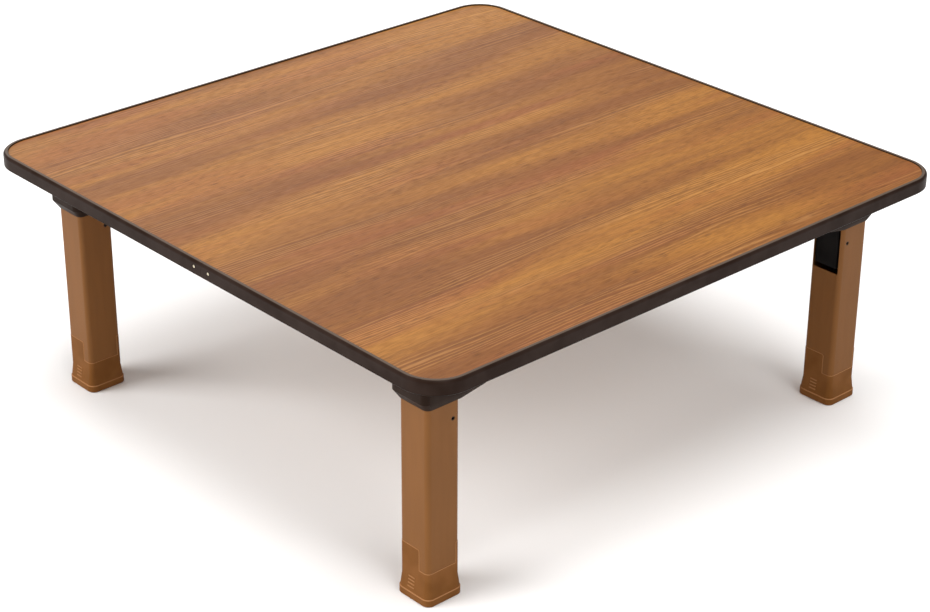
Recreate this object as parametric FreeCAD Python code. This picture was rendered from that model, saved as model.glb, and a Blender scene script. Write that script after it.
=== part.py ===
import FreeCAD
import Part
import math
import os

# Low square table with four legs that fold flat under the top.
# Millimetres, +Z up, origin on the floor under the middle of the top.
# -Y is the front, where the two ends of the edge moulding meet.

V = FreeCAD.Vector
X_AXIS = V(1, 0, 0)
Y_AXIS = V(0, 1, 0)
Z_AXIS = V(0, 0, 1)

# Whole table
TOP_SIDE = 800.0
TABLE_HEIGHT = 308.0
TOP_CORNER_R = 45.0
CUT_OVERRUN = 2.0
SAME_PLACE = 0.001

# Edge moulding: a soft channel pushed over the edge of the board
BAND_HEIGHT = 17.5
BAND_WEB = 2.6
BAND_LIP_PROUD = 1.5
BAND_UNDER_LIP_T = 1.5
BAND_LIP_REACH = 6.0
BAND_SHOULDER_R = 4.0
BAND_UNDER_BEVEL = 1.0
BAND_LIP_BEVEL = 0.4
BAND_FIT = 0.1
BAND_JOINT_X = 24.0
BAND_JOINT_GAP = 0.3

# Wood-grain sheet on the top face of the board, trimmed to the moulding's lip
LAMINATE_T = 0.8
LAMINATE_EDGE_GAP = 0.2

# Nails at the two ends of the moulding
NAIL_SPACING = 25.4
NAIL_DROP = 8.1
NAIL_HEAD_R = 2.0
NAIL_HEAD_T = 0.6
NAIL_SHANK_R = 0.7
NAIL_LENGTH = 18.0
NAIL_FIT = 0.05

# Where the legs stand, measured from the edges of the top to the leg's middle
LEG_INSET_X = 87.0
LEG_INSET_Y = 73.0

# Leg: a square steel tube, open at the top of its inner face
LEG_SIDE = 45.0
LEG_CORNER_R = 6.0
LEG_WALL = 1.2
LEG_TOP_DROP = 70.0
LEG_TOP_GAP = 0.2
LEG_SLOT_LENGTH = 61.0
LEG_SLOT_LAND = 3.6
LEG_SLOT_CORNER_R = 1.5

# Hinge pin: a rolled spring pin through both side walls of the leg
PIN_DROP = 21.0
PIN_FROM_INNER_FACE = 10.0
PIN_R = 2.5
PIN_BORE_R = 1.5
PIN_SLIT = 0.8
PIN_RECESS = 0.3
PIN_WALL_FIT = 0.02
PIN_RUNNING_FIT = 0.05

# Bracket: housing under the board, which widens upwards from the leg's own outline
HOUSING_FOOT_PROUD = 1.5
HOUSING_WAIST_RISE = 10.0
HOUSING_SIDE_PROUD = 5.5
HOUSING_FRONT_PROUD = 8.0
HOUSING_TAIL = 37.5
HOUSING_TAIL_RISE_DEG = 14.0
HOUSING_TAIL_CHAMFER = 4.0
HOUSING_CORNER_R = 8.0
HOUSING_WALL = 3.0
HOUSING_FLOOR = 6.0
HOUSING_RIB_T = 2.5
HOUSING_RIB_ROWS = 3

# Bracket: flange screwed to the underside of the board
FLANGE_T = 3.0
FLANGE_SIDE_REACH = 11.0
FLANGE_FRONT_REACH = 5.5
FLANGE_TAIL_REACH = 11.0
FLANGE_CORNER_R = 6.0
GUSSET_T = 2.5
GUSSET_DROP = 12.0
GUSSET_MARGIN = 1.5

# Pivot block: tongue that reaches down inside the leg and carries the pin
TONGUE_SIDE_GAP = 0.5
TONGUE_FACE_GAP = 0.3
TONGUE_WALL = 3.0
TONGUE_BACK = 4.0
HUB_R = 5.5
HUB_END_GAP = 0.4

# Spigot of the pivot block, let up into the floor of the housing
SPIGOT_HALF = 12.0
SPIGOT_FRONT = 15.0
SPIGOT_BACK = 6.0
SPIGOT_HEIGHT = 4.0
SPIGOT_FIT = 0.1

# Detent spring: an arched leaf let into the round end of the tongue
SPRING_T = 0.6
SPRING_WIDTH = 20.0
SPRING_SIDE_GAP = 0.5
SPRING_SEAT_DEPTH = 3.5
SPRING_SEAT_GAP = 0.05
SPRING_PROUD = 2.0
SPRING_HALF_DEG = 25.0
SPRING_SEAT_HALF_DEG = 28.0
SPRING_AXIS_DEG = 225.0

# Wood screws through the flange
SCREW_HEAD_R = 3.8
SCREW_HEAD_TOP_R = 2.6
SCREW_HEAD_T = 2.2
SCREW_R = 1.9
SCREW_LENGTH = 12.0
SCREW_POINT = 3.0
SCREW_FLANGE_FIT = 0.2
SCREW_WOOD_FIT = 0.05
SCREW_EDGE = 6.0
SCREW_FRONT_EDGE = 14.0
SCREW_TAIL_EDGE = 21.0

# Foot cap: a moulded boot with a plug inside the tube and two let-in tabs
CAP_SEAM_Z = 40.0
CAP_PROUD = 0.3
CAP_TAB_HEIGHT = 25.5
CAP_TAB_PAST_MIDDLE = 9.0
CAP_TAB_CORNER_R = 2.5
CAP_SEAM_GAP = 0.15
CAP_FLARE_Z = 25.0
CAP_FLARE = 2.2
CAP_BAND_Z = 9.0
CAP_BAND_PROUD = 0.8
CAP_BAND_BEVEL = 0.4
CAP_SOLE_CHAMFER = 1.0
CAP_SOLE_T = 6.0
CAP_WALL = 2.6
CAP_PLUG_HEIGHT = 28.0
CAP_PLUG_FIT = 0.15
CAP_RIB_T = 2.2

# Heights and half sizes that follow from the values above
LAMINATE_TOP = TABLE_HEIGHT - BAND_LIP_PROUD
BOARD_TOP = LAMINATE_TOP - LAMINATE_T
UNDERSIDE = TABLE_HEIGHT - BAND_HEIGHT + BAND_UNDER_LIP_T
BOARD_SIDE = TOP_SIDE - 2 * (BAND_WEB + BAND_FIT)
BOARD_CORNER_R = TOP_CORNER_R - BAND_WEB - BAND_FIT

LEG_HALF = LEG_SIDE / 2
LEG_INNER_SIDE = LEG_SIDE - 2 * LEG_WALL
LEG_INNER_R = LEG_CORNER_R - LEG_WALL
HOUSING_BOTTOM = TABLE_HEIGHT - LEG_TOP_DROP
LEG_TOP = HOUSING_BOTTOM - LEG_TOP_GAP
LEG_FLAT_HALF = LEG_HALF - LEG_CORNER_R

# The pin's place in a leg's own plan, where the tail direction is +Y
PIN_Y = LEG_HALF - PIN_FROM_INNER_FACE
PIN_Z = HOUSING_BOTTOM - PIN_DROP
TONGUE_HALF = LEG_FLAT_HALF - TONGUE_SIDE_GAP
TONGUE_R = LEG_HALF + PIN_Y - LEG_WALL - TONGUE_FACE_GAP
TONGUE_FACE = PIN_FROM_INNER_FACE - TONGUE_FACE_GAP
HUB_HALF = LEG_INNER_SIDE / 2 - HUB_END_GAP

HOUSING_HALF = LEG_HALF + HOUSING_SIDE_PROUD
HOUSING_FRONT = -LEG_HALF - HOUSING_FRONT_PROUD
HOUSING_BACK = LEG_HALF + HOUSING_TAIL
FLANGE_HALF = HOUSING_HALF + FLANGE_SIDE_REACH
FLANGE_FRONT = HOUSING_FRONT - FLANGE_FRONT_REACH
FLANGE_BACK = HOUSING_BACK + FLANGE_TAIL_REACH
FLANGE_BOTTOM = UNDERSIDE - FLANGE_T

CAP_SIDE = LEG_SIDE + 2 * CAP_PROUD
CAP_CORNER_R = LEG_CORNER_R + CAP_PROUD
TAB_TOP = CAP_SEAM_Z + CAP_TAB_HEIGHT


def rounded_wire(width, depth, radius, z, mid_x=0.0, mid_y=0.0):
    """Closed outline of a rectangle with round corners, level at height z."""
    a = width / 2
    b = depth / 2
    edges = []
    corners = [(a, b, 0), (-a, b, 90), (-a, -b, 180), (a, -b, 270)]
    points = []
    for x, y, start in corners:
        cx = x - math.copysign(radius, x)
        cy = y - math.copysign(radius, y)
        arc = []
        for degrees in (start, start + 45, start + 90):
            turn = math.radians(degrees)
            arc.append(V(mid_x + cx + radius * math.cos(turn), mid_y + cy + radius * math.sin(turn), z))
        points.append(arc)
    for i, arc in enumerate(points):
        edges.append(Part.Arc(*arc).toShape())
        edges.append(Part.makeLine(arc[2], points[(i + 1) % 4][0]))
    return Part.Wire(edges)


def rounded_prism(width, depth, radius, low, high, mid_x=0.0, mid_y=0.0):
    """Upright block with a round-cornered rectangular plan."""
    face = Part.Face(rounded_wire(width, depth, radius, low, mid_x, mid_y))
    return face.extrude(V(0, 0, high - low))


def block(x0, x1, y0, y1, z0, z1):
    """Box between two corners."""
    return Part.makeBox(x1 - x0, y1 - y0, z1 - z0, V(x0, y0, z0))


def edges_where(shape, test):
    """Edges whose ends all pass the test."""
    return [e for e in shape.Edges if all(test(v.Point) for v in e.Vertexes)]


def side_extrusion(edges, half):
    """Solid made of a closed outline in the YZ plane, as wide as twice half along X."""
    face = Part.Face(Part.Wire(edges))
    solid = face.extrude(V(2 * half, 0, 0))
    solid.translate(V(-half, 0, 0))
    return solid


def round_pin(radius, x0, x1, y, z):
    """Cylinder along X."""
    return Part.makeCylinder(radius, x1 - x0, V(x0, y, z), X_AXIS)


def near(value, target):
    return abs(value - target) < SAME_PLACE


# Top of the table


def screw_places():
    """Plan places of one bracket's screws, relative to its leg."""
    x = FLANGE_HALF - SCREW_EDGE
    rows = (FLANGE_FRONT + SCREW_FRONT_EDGE, FLANGE_BACK - SCREW_TAIL_EDGE)
    return [(side * x, y) for side in (-1, 1) for y in rows]


def leg_places():
    """Name, plan place and turn of each leg; the rear legs are the front ones turned half round."""
    x = TOP_SIDE / 2 - LEG_INSET_X
    y = TOP_SIDE / 2 - LEG_INSET_Y
    return [
        ("front_left", -x, -y, 0),
        ("front_right", x, -y, 0),
        ("rear_left", -x, y, 180),
        ("rear_right", x, y, 180),
    ]


def placed(shape, place):
    """A copy of a leg's piece, moved from the leg's own plan to its corner of the table."""
    moved = shape.copy()
    moved.rotate(V(0, 0, 0), Z_AXIS, place[3])
    moved.translate(V(place[1], place[2], 0))
    return moved


def nail_places():
    return [BAND_JOINT_X - NAIL_SPACING / 2, BAND_JOINT_X + NAIL_SPACING / 2]


def nail(x, fit=0.0):
    """One nail, its head let into the moulding; with a fit it is the hole for the nail."""
    front = -TOP_SIDE / 2
    z = TABLE_HEIGHT - NAIL_DROP
    head = Part.makeCylinder(NAIL_HEAD_R + fit, NAIL_HEAD_T + fit, V(x, front, z), Y_AXIS)
    shank = Part.makeCylinder(NAIL_SHANK_R + fit, NAIL_LENGTH + fit, V(x, front, z), Y_AXIS)
    return head.fuse(shank).removeSplitter()


def screw(x, y, fit=0.0):
    """One pan head screw from below; with a fit it is the hole in the board."""
    seat = FLANGE_BOTTOM
    tip = seat + SCREW_LENGTH + fit
    shoulder = tip - SCREW_POINT
    shank = Part.makeCylinder(SCREW_R + fit, shoulder - seat, V(x, y, seat), Z_AXIS)
    point = Part.makeCone(SCREW_R + fit, fit, tip - shoulder, V(x, y, shoulder), Z_AXIS)
    if fit:
        return shank.fuse(point)
    low = seat - SCREW_HEAD_T
    head = Part.makeCone(SCREW_HEAD_TOP_R, SCREW_HEAD_R, SCREW_HEAD_T, V(x, y, low), Z_AXIS)
    return shank.fuse([point, head]).removeSplitter()


def all_screw_holes():
    holes = []
    for place in leg_places():
        for x, y in screw_places():
            holes.append(placed(screw(x, y, SCREW_WOOD_FIT), place))
    return holes


def top_board():
    """The board itself, bored for the screws and the two nails."""
    board = rounded_prism(BOARD_SIDE, BOARD_SIDE, BOARD_CORNER_R, UNDERSIDE, BOARD_TOP)
    holes = all_screw_holes() + [nail(x, NAIL_FIT) for x in nail_places()]
    return board.cut(holes)


def wood_laminate():
    """Wood-grain sheet glued to the top face inside the moulding's lip."""
    inset = BAND_LIP_REACH + LAMINATE_EDGE_GAP
    side = TOP_SIDE - 2 * inset
    return rounded_prism(side, side, TOP_CORNER_R - inset, BOARD_TOP, LAMINATE_TOP)


def edge_moulding():
    """Channel-shaped strip round the whole edge, with its butt joint at the front."""
    low = TABLE_HEIGHT - BAND_HEIGHT
    window_side = TOP_SIDE - 2 * BAND_LIP_REACH
    window_r = TOP_CORNER_R - BAND_LIP_REACH
    band = rounded_prism(TOP_SIDE, TOP_SIDE, TOP_CORNER_R, low, TABLE_HEIGHT)
    band = band.makeFillet(BAND_SHOULDER_R, edges_where(band, lambda p: near(p.z, TABLE_HEIGHT)))
    band = band.makeChamfer(BAND_UNDER_BEVEL, edges_where(band, lambda p: near(p.z, low)))
    window = rounded_prism(window_side, window_side, window_r, low - CUT_OVERRUN, TABLE_HEIGHT + CUT_OVERRUN)
    band = band.cut(window)

    def on_lip(p):
        return near(p.z, TABLE_HEIGHT) and max(abs(p.x), abs(p.y)) < window_side / 2 + BAND_FIT

    band = band.makeChamfer(BAND_LIP_BEVEL, edges_where(band, on_lip))
    pocket_side = TOP_SIDE - 2 * BAND_WEB
    pocket = rounded_prism(pocket_side, pocket_side, TOP_CORNER_R - BAND_WEB, UNDERSIDE, BOARD_TOP)
    half_gap = BAND_JOINT_GAP / 2
    joint = block(
        BAND_JOINT_X - half_gap,
        BAND_JOINT_X + half_gap,
        -TOP_SIDE / 2 - CUT_OVERRUN,
        -TOP_SIDE / 2 + BAND_LIP_REACH + CUT_OVERRUN,
        low - CUT_OVERRUN,
        TABLE_HEIGHT + CUT_OVERRUN,
    )
    return band.cut([pocket, joint] + [nail(x, NAIL_FIT) for x in nail_places()])


def moulding_nails():
    return Part.makeCompound([nail(x) for x in nail_places()])


# Bracket


def housing_profile(lift=0.0):
    """Side outline of the housing: level seat for the leg and a rising, chamfered tail."""
    low = HOUSING_BOTTOM + lift
    top = UNDERSIDE + lift
    tail = LEG_HALF + HOUSING_TAIL - HOUSING_TAIL_CHAMFER
    tail_z = low + (HOUSING_TAIL - HOUSING_TAIL_CHAMFER) * math.tan(math.radians(HOUSING_TAIL_RISE_DEG))
    corners = [
        V(0, HOUSING_FRONT, top),
        V(0, HOUSING_FRONT, low),
        V(0, LEG_HALF, low),
        V(0, tail, tail_z),
        V(0, HOUSING_BACK, tail_z + HOUSING_TAIL_CHAMFER),
        V(0, HOUSING_BACK, top),
    ]
    return [Part.makeLine(corners[i - 1], corners[i]) for i in range(len(corners))]


def flared_box():
    """Round-cornered box that widens from the leg's outline to a waist and stands straight above it."""
    waist = HOUSING_BOTTOM + HOUSING_WAIST_RISE
    levels = [
        (HOUSING_FOOT_PROUD, HOUSING_FOOT_PROUD, LEG_CORNER_R + HOUSING_FOOT_PROUD, HOUSING_BOTTOM),
        (HOUSING_SIDE_PROUD, HOUSING_FRONT_PROUD, HOUSING_CORNER_R, waist),
    ]
    wires = []
    for side, front, radius, z in levels:
        front_y = -LEG_HALF - front
        width = 2 * (LEG_HALF + side)
        wires.append(
            rounded_wire(width, HOUSING_BACK - front_y, radius, z, 0.0, (HOUSING_BACK + front_y) / 2)
        )
    flare = Part.makeLoft(wires, True, True)
    return flare.fuse(Part.Face(wires[1]).extrude(V(0, 0, FLANGE_BOTTOM - waist)))


def housing():
    """Outside of the bracket's box, below the flange."""
    return flared_box().common(side_extrusion(housing_profile(), HOUSING_HALF))


def housing_pockets():
    """Cavities cored straight down to the floor, two wide and three long, with ribs between."""
    top = UNDERSIDE + CUT_OVERRUN
    rise = HOUSING_FLOOR / HOUSING_WAIST_RISE
    side = HOUSING_FOOT_PROUD + rise * (HOUSING_SIDE_PROUD - HOUSING_FOOT_PROUD)
    front = HOUSING_FOOT_PROUD + rise * (HOUSING_FRONT_PROUD - HOUSING_FOOT_PROUD)
    width = 2 * (LEG_HALF + side - HOUSING_WALL)
    y0 = -LEG_HALF - front + HOUSING_WALL
    y1 = HOUSING_BACK - HOUSING_WALL
    radius = HOUSING_CORNER_R - HOUSING_WALL
    core = rounded_prism(width, y1 - y0, radius, HOUSING_BOTTOM, top, 0.0, (y0 + y1) / 2)
    core = core.common(side_extrusion(housing_profile(HOUSING_FLOOR), HOUSING_HALF))
    pitch = (y1 - y0 + HOUSING_RIB_T) / HOUSING_RIB_ROWS
    half = HOUSING_RIB_T / 2
    ribs = [block(-half, half, HOUSING_FRONT, HOUSING_BACK, HOUSING_BOTTOM, top)]
    for row in range(1, HOUSING_RIB_ROWS):
        rib_end = y0 + row * pitch
        ribs.append(
            block(-HOUSING_HALF, HOUSING_HALF, rib_end - HOUSING_RIB_T, rib_end, HOUSING_BOTTOM, top)
        )
    return core.cut(ribs)


def flange():
    """Plate that is screwed up against the board."""
    depth = FLANGE_BACK - FLANGE_FRONT
    mid_y = (FLANGE_BACK + FLANGE_FRONT) / 2
    return rounded_prism(
        2 * FLANGE_HALF, depth, FLANGE_CORNER_R, FLANGE_BOTTOM, UNDERSIDE, 0.0, mid_y
    )


def flange_holes():
    radius = SCREW_R + SCREW_FLANGE_FIT
    low = FLANGE_BOTTOM - CUT_OVERRUN
    height = FLANGE_T + 2 * CUT_OVERRUN
    return [Part.makeCylinder(radius, height, V(x, y, low), Z_AXIS) for x, y in screw_places()]


def gussets():
    """Triangular webs between the sides of the housing and the flange."""
    rows = sorted({y for x, y in screw_places()})
    places = [(rows[0] + rows[1]) / 2 - GUSSET_DROP, (rows[0] + rows[1]) / 2 + GUSSET_DROP]
    webs = []
    for side in (-1, 1):
        root = side * (HOUSING_HALF - HOUSING_WALL / 2)
        tip = side * (FLANGE_HALF - GUSSET_MARGIN)
        for y in places:
            corners = [
                V(root, y - GUSSET_T / 2, FLANGE_BOTTOM),
                V(tip, y - GUSSET_T / 2, FLANGE_BOTTOM),
                V(root, y - GUSSET_T / 2, FLANGE_BOTTOM - GUSSET_DROP),
            ]
            outline = Part.makePolygon(corners + corners[:1])
            webs.append(Part.Face(outline).extrude(V(0, GUSSET_T, 0)))
    return webs


def tongue_profile(radius, face, top):
    """Side outline about the pin: flat front, quarter round end, flat sole and flat inner face."""
    pin = V(0, PIN_Y, PIN_Z)
    a = V(0, PIN_Y - radius, top)
    b = V(0, PIN_Y - radius, PIN_Z)
    middle = pin + V(0, -radius * math.sqrt(0.5), -radius * math.sqrt(0.5))
    c = V(0, PIN_Y, PIN_Z - radius)
    d = V(0, PIN_Y + face, PIN_Z - radius)
    e = V(0, PIN_Y + face, top)
    return [
        Part.makeLine(a, b),
        Part.Arc(b, middle, c).toShape(),
        Part.makeLine(c, d),
        Part.makeLine(d, e),
        Part.makeLine(e, a),
    ]


def spigot(fit=0.0):
    """Square boss on top of the pivot block; with a fit it is the socket in the housing's floor."""
    return block(
        -SPIGOT_HALF - fit,
        SPIGOT_HALF + fit,
        -SPIGOT_FRONT - fit,
        SPIGOT_BACK + fit,
        HOUSING_BOTTOM - fit,
        HOUSING_BOTTOM + SPIGOT_HEIGHT + fit,
    )


def tongue():
    """Block inside the leg's top that the leg swings round, cored from its sole behind the spring."""
    solid = side_extrusion(tongue_profile(TONGUE_R, TONGUE_FACE, HOUSING_BOTTOM), TONGUE_HALF)
    width = (2 * TONGUE_HALF - 3 * TONGUE_WALL) / 2
    seat_end = math.radians(SPRING_AXIS_DEG + SPRING_SEAT_HALF_DEG)
    front = PIN_Y + (TONGUE_R - SPRING_SEAT_DEPTH) * math.cos(seat_end) + TONGUE_WALL
    back = PIN_Y + TONGUE_FACE - TONGUE_WALL
    low = PIN_Z - TONGUE_R - CUT_OVERRUN
    high = PIN_Z - PIN_R - TONGUE_BACK
    cores = []
    for side in (-1, 1):
        mid = side * (TONGUE_WALL + width) / 2
        cores.append(block(mid - width / 2, mid + width / 2, front, back, low, high))
    solid = solid.cut(cores)
    hub = round_pin(HUB_R, -HUB_HALF, HUB_HALF, PIN_Y, PIN_Z)
    return solid.fuse(hub)


def spring_seat():
    """Recess in the round end of the tongue that the leaf spring lies in."""
    floor = TONGUE_R - SPRING_SEAT_DEPTH
    half = SPRING_WIDTH / 2 + SPRING_SIDE_GAP
    reach = TONGUE_R + CUT_OVERRUN
    outer = round_pin(reach, -half, half, PIN_Y, PIN_Z)
    ring = outer.cut(round_pin(floor, -half - CUT_OVERRUN, half + CUT_OVERRUN, PIN_Y, PIN_Z))
    far = 2 * reach
    corners = [V(-half, PIN_Y, PIN_Z)]
    for swing in (-SPRING_SEAT_HALF_DEG, SPRING_SEAT_HALF_DEG):
        turn = math.radians(SPRING_AXIS_DEG + swing)
        corners.append(V(-half, PIN_Y + far * math.cos(turn), PIN_Z + far * math.sin(turn)))
    wedge = Part.Face(Part.makePolygon(corners + corners[:1])).extrude(V(2 * half, 0, 0))
    return ring.common(wedge)


def detent_spring():
    """Arched spring-steel leaf; the leg's front wall presses it flat as the leg passes half way."""
    seat = TONGUE_R - SPRING_SEAT_DEPTH + SPRING_SEAT_GAP
    half_angle = math.radians(SPRING_HALF_DEG)
    half_chord = seat * math.sin(half_angle)
    base = seat * math.cos(half_angle)
    rise = TONGUE_R + SPRING_PROUD - SPRING_T - base
    inner_r = (half_chord ** 2 + rise ** 2) / (2 * rise)
    middle = base + rise - inner_r
    sweep = math.asin(half_chord / inner_r)
    axis = math.radians(SPRING_AXIS_DEG)

    def at(radius, turn):
        along = middle + radius * math.cos(turn)
        across = radius * math.sin(turn)
        y = PIN_Y + along * math.cos(axis) - across * math.sin(axis)
        z = PIN_Z + along * math.sin(axis) + across * math.cos(axis)
        return V(0, y, z)

    outer_r = inner_r + SPRING_T
    edges = [
        Part.Arc(at(inner_r, -sweep), at(inner_r, 0), at(inner_r, sweep)).toShape(),
        Part.makeLine(at(inner_r, sweep), at(outer_r, sweep)),
        Part.Arc(at(outer_r, sweep), at(outer_r, 0), at(outer_r, -sweep)).toShape(),
        Part.makeLine(at(outer_r, -sweep), at(inner_r, -sweep)),
    ]
    return side_extrusion(edges, SPRING_WIDTH / 2)


def bracket():
    """Housing, flange and gussets as one moulding, bored for the screws and socketed for the block."""
    body = housing().fuse([flange()] + gussets())
    body = body.cut([housing_pockets(), spigot(SPIGOT_FIT)] + flange_holes())
    return body.removeSplitter()


def pivot_block():
    """Tongue with its spigot, bored for the pin and recessed for the detent spring."""
    bore = round_pin(PIN_R + PIN_RUNNING_FIT, -HOUSING_HALF, HOUSING_HALF, PIN_Y, PIN_Z)
    return tongue().fuse(spigot()).cut([bore, spring_seat()]).removeSplitter()


def bracket_screws():
    return Part.makeCompound([screw(x, y) for x, y in screw_places()])


# Leg


def tab_region(gap):
    """Space of one let-in tab: from the leg's left front corner to past the middle of its front face."""
    left = -LEG_HALF - CUT_OVERRUN
    right = CAP_TAB_PAST_MIDDLE - gap
    front = -LEG_HALF - CUT_OVERRUN
    back = -LEG_FLAT_HALF - gap
    space = block(left, right, front, back, CAP_SEAM_Z - CUT_OVERRUN, TAB_TOP - gap)
    corner = edges_where(space, lambda p: near(p.x, right) and near(p.z, TAB_TOP - gap))
    return space.makeFillet(CAP_TAB_CORNER_R, corner)


def half_turned(shape):
    turned = shape.copy()
    turned.rotate(V(0, 0, 0), Z_AXIS, 180)
    return turned


def leg_tube():
    """Square tube: open inner face at the top, pin holes, and notches for the tabs of the foot cap."""
    outer = rounded_prism(LEG_SIDE, LEG_SIDE, LEG_CORNER_R, CAP_SEAM_Z, LEG_TOP)
    inner = rounded_prism(
        LEG_INNER_SIDE, LEG_INNER_SIDE, LEG_INNER_R, CAP_SEAM_Z - CUT_OVERRUN, LEG_TOP + CUT_OVERRUN
    )
    tube = outer.cut(inner)
    slot_low = HOUSING_BOTTOM - LEG_SLOT_LENGTH
    slot_half = LEG_HALF - LEG_SLOT_LAND
    slot = block(
        -slot_half, slot_half, LEG_FLAT_HALF, LEG_HALF + CUT_OVERRUN, slot_low, LEG_TOP + CUT_OVERRUN
    )
    corners = [e for e in edges_where(slot, lambda p: near(p.z, slot_low)) if near(e.BoundBox.XLength, 0)]
    slot = slot.makeFillet(LEG_SLOT_CORNER_R, corners)
    holes = round_pin(PIN_R + PIN_WALL_FIT, -LEG_SIDE, LEG_SIDE, PIN_Y, PIN_Z)
    tab = tab_region(0.0)
    return tube.cut([slot, holes, tab, half_turned(tab), top_trim()])


def top_trim():
    """What is cut from the leg's top behind the pin, so that it turns clear of the housing."""
    radius = PIN_DROP - LEG_TOP_GAP
    corner = block(-LEG_SIDE, LEG_SIDE, PIN_Y, LEG_SIDE, PIN_Z, LEG_TOP + CUT_OVERRUN)
    keep = round_pin(radius, -LEG_SIDE - CUT_OVERRUN, LEG_SIDE + CUT_OVERRUN, PIN_Y, PIN_Z)
    below = block(
        -LEG_SIDE - CUT_OVERRUN,
        LEG_SIDE + CUT_OVERRUN,
        PIN_Y - CUT_OVERRUN,
        LEG_SIDE + CUT_OVERRUN,
        PIN_Z - CUT_OVERRUN,
        PIN_Z + math.sqrt(radius ** 2 - PIN_FROM_INNER_FACE ** 2),
    )
    return corner.cut([keep, below])


def hinge_pin():
    """Rolled spring pin, hollow and slit along its length."""
    half = LEG_HALF - PIN_RECESS
    pin = round_pin(PIN_R, -half, half, PIN_Y, PIN_Z)
    bore = round_pin(PIN_BORE_R, -LEG_SIDE, LEG_SIDE, PIN_Y, PIN_Z)
    slit = block(-LEG_SIDE, LEG_SIDE, PIN_Y, PIN_Y + LEG_SIDE, PIN_Z - PIN_SLIT / 2, PIN_Z + PIN_SLIT / 2)
    return pin.cut([bore, slit])


def foot_shell():
    """Outside of the boot: straight collar, flared foot, and a band round the chamfered sole."""
    collar = rounded_prism(CAP_SIDE, CAP_SIDE, CAP_CORNER_R, CAP_FLARE_Z, CAP_SEAM_Z - CAP_SEAM_GAP)

    def section(z, out):
        return rounded_wire(CAP_SIDE + 2 * out, CAP_SIDE + 2 * out, CAP_CORNER_R + out, z)

    flare = Part.makeLoft([section(CAP_FLARE_Z, 0.0), section(CAP_BAND_Z, CAP_FLARE)], True, True)
    out = CAP_FLARE + CAP_BAND_PROUD
    band = Part.makeLoft(
        [
            section(CAP_BAND_Z, out - CAP_BAND_BEVEL),
            section(CAP_BAND_Z - CAP_BAND_BEVEL, out),
            section(CAP_SOLE_CHAMFER, out),
            section(0.0, out - CAP_SOLE_CHAMFER),
        ],
        True,
        True,
    )
    return collar.fuse([flare, band])


def foot_cap():
    """Boot with its plug up inside the tube, ribbed inside, and the two tabs flush with the leg."""
    plug_side = LEG_INNER_SIDE - 2 * CAP_PLUG_FIT
    plug_r = LEG_INNER_R - CAP_PLUG_FIT
    plug_top = CAP_SEAM_Z + CAP_PLUG_HEIGHT
    plug = rounded_prism(plug_side, plug_side, plug_r, CAP_FLARE_Z, plug_top)
    skin = rounded_prism(CAP_SIDE, CAP_SIDE, CAP_CORNER_R, CAP_FLARE_Z, TAB_TOP)
    tab = skin.common(tab_region(CAP_SEAM_GAP))
    body = foot_shell().fuse([plug, tab, half_turned(tab)])
    core_side = plug_side - 2 * CAP_WALL
    core_r = plug_r - CAP_WALL
    core = rounded_prism(core_side, core_side, core_r, CAP_SOLE_T, plug_top + CUT_OVERRUN)
    core_half = core_side / 2
    rib_half = CAP_RIB_T / 2
    rib_x = block(-core_half, core_half, -rib_half, rib_half, CAP_SOLE_T, CAP_SEAM_Z)
    rib_y = block(-rib_half, rib_half, -core_half, core_half, CAP_SOLE_T, CAP_SEAM_Z)
    return body.cut(core.cut([rib_x, rib_y])).removeSplitter()


def main():
    os.makedirs("parts", exist_ok=True)
    nodes = {
        "top_board": top_board(),
        "wood_laminate": wood_laminate(),
        "edge_moulding": edge_moulding(),
        "moulding_nails": moulding_nails(),
    }
    leg_pieces = {
        "bracket": bracket(),
        "pivot_block": pivot_block(),
        "bracket_screws": bracket_screws(),
        "leg_tube": leg_tube(),
        "foot_cap": foot_cap(),
        "hinge_pin": hinge_pin(),
        "detent_spring": detent_spring(),
    }
    for place in leg_places():
        for piece, shape in leg_pieces.items():
            nodes[place[0] + "_" + piece] = placed(shape, place)
    for name, shape in nodes.items():
        if not shape.isValid():
            raise ValueError(name + " is not a valid shape")
        shape.exportStep(os.path.join("parts", name + ".step"))
        box = shape.BoundBox
        print(name, len(shape.Solids), round(shape.Volume, 1),
              [round(v, 2) for v in (box.XMin, box.XMax, box.YMin, box.YMax, box.ZMin, box.ZMax)])


main()
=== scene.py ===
import math

import bmesh
import bpy
from bpy.props import FloatProperty, FloatVectorProperty, PointerProperty
from mathutils import Matrix, Vector


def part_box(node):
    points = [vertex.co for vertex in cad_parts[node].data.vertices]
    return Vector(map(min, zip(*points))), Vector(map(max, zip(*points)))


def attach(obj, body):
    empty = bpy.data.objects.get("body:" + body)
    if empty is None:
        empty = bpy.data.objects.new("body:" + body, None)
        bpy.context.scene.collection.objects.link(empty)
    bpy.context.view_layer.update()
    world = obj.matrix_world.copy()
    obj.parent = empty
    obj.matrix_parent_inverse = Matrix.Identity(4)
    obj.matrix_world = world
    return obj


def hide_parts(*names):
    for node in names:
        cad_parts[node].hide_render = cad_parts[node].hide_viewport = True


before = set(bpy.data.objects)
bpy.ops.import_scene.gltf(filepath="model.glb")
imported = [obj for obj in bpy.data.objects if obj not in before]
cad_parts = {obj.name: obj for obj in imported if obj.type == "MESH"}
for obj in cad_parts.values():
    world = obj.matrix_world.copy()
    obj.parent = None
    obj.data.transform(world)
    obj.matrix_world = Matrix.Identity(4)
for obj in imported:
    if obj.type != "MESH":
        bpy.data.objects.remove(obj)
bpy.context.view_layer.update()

bl_info = {
    "name": "Low Folding Leg Table",
    "version": (1, 0, 0),
    "blender": (4, 5, 0),
    "location": "3D Viewport > Sidebar > Low Table",
    "description": "Gives a low folding leg table its real finishes and stands it in soft light",
    "category": "Object",
}

MM = 0.001
LEGS = ("front_left", "front_right", "rear_left", "rear_right")

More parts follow.
